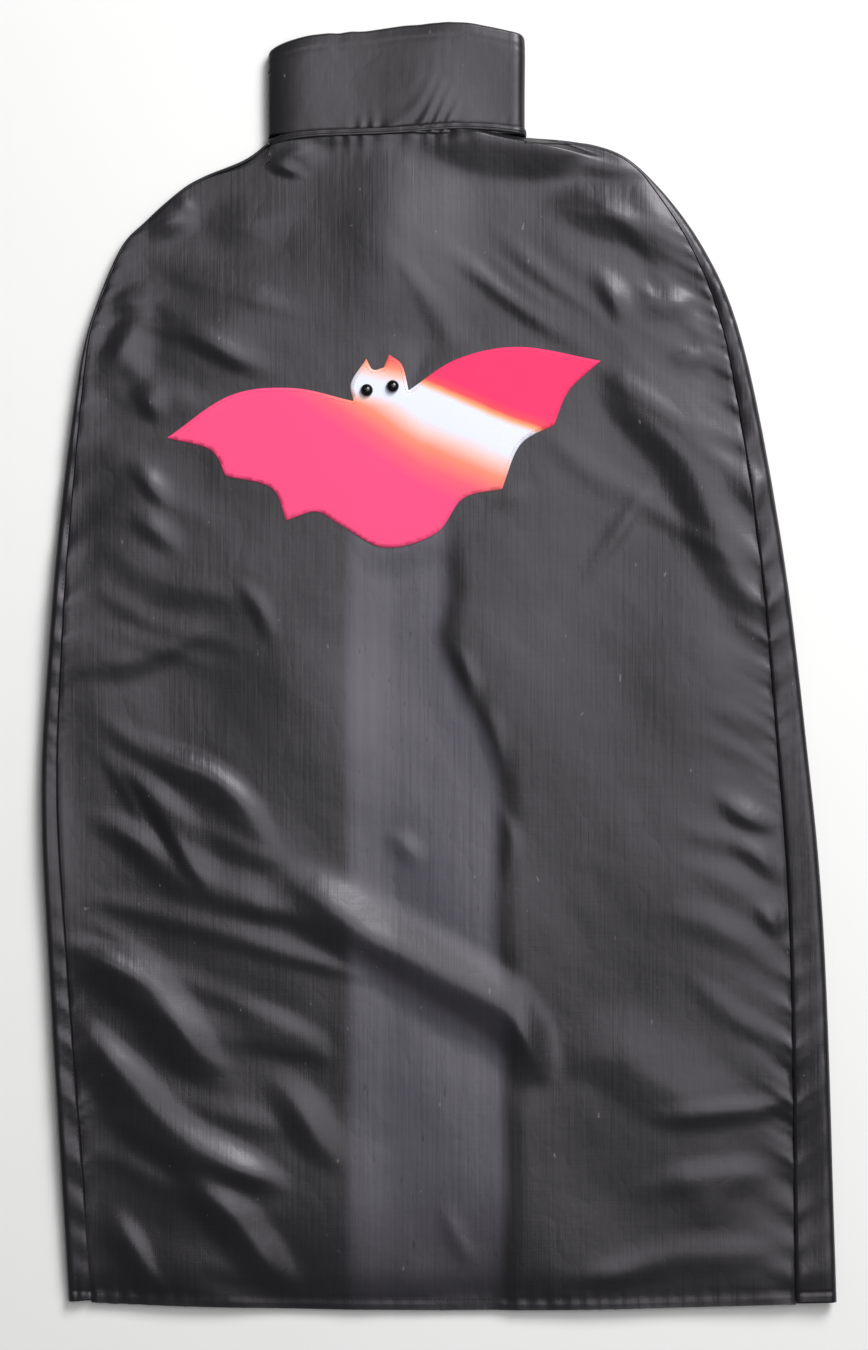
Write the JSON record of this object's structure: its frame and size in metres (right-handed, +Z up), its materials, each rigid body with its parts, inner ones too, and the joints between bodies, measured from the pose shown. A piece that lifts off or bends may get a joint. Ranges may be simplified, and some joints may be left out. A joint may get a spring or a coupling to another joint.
{
  "type": "superhero cape",
  "caption": "Child's satin costume cape laid flat, back up, with a flattened stand-up collar, a bat applique with domed eyes and folding fronts.",
  "frame": {"origin": "middle of the cape's footprint, on the floor it lies on", "axes": "+Z up from the floor, +Y from the hem towards the collar, +X to the right as seen from above"},
  "size_m": [0.6126, 0.9922, 0.0172],
  "materials": {
    "satin": "black lining satin with a soft sheen",
    "lining": "black lining satin, inner side",
    "stiffener": "white non-woven, matt",
    "print": "smooth printed cloth fading from pink to white",
    "gloss": "polished black",
    "washer_plastic": "white, matt",
    "fastener": "black hook-and-loop tape",
    "thread": "black sewing thread",
    "pink_thread": "pink sewing thread"
  },
  "bodies": {
    "cape_body": {"back_panel": "satin", "left_front_panel": "satin", "right_front_panel": "satin", "left_front_fold": "satin", "right_front_fold": "satin", "collar_binding": "satin", "collar_binding_thread": "thread", "bat_applique": "print", "bat_backing": "stiffener", "bat_edge_thread": "pink_thread", "left_eye": "gloss", "right_eye": "gloss", "left_eye_washer": "washer_plastic", "right_eye_washer": "washer_plastic", "back_hem_thread": "thread", "left_side_seam_thread": "thread", "right_side_seam_thread": "thread"},
    "collar": {"collar_outer": "satin", "collar_interfacing": "stiffener", "collar_inner": "lining", "hook_patch": "fastener", "loop_patch": "fastener", "hook_patch_thread": "thread", "loop_patch_thread": "thread"},
    "left_flap": {"left_front_flap": "satin", "left_hem_thread": "thread", "left_front_edge_thread": "thread"},
    "right_flap": {"right_front_flap": "satin", "right_hem_thread": "thread", "right_front_edge_thread": "thread"}
  },
  "joints": [
    {"name": "collar_turn_down", "type": "hinge", "parent": "cape_body", "child": "collar", "pos_m": [-0.03223, 0.40995, 0.0156], "axis": [1, 0, 0], "range_deg": [0, 170]},
    {"name": "left_front_open", "type": "hinge", "parent": "cape_body", "child": "left_flap", "pos_m": [-0.05623, 0.4049, 0.0015], "axis": [0.2476, 0.9689, 0], "range_deg": [0, 180]},
    {"name": "right_front_open", "type": "hinge", "parent": "cape_body", "child": "right_flap", "pos_m": [-0.00823, 0.4049, 0.0015], "axis": [0.3319, -0.9433, 0], "range_deg": [0, 180]}
  ]
}
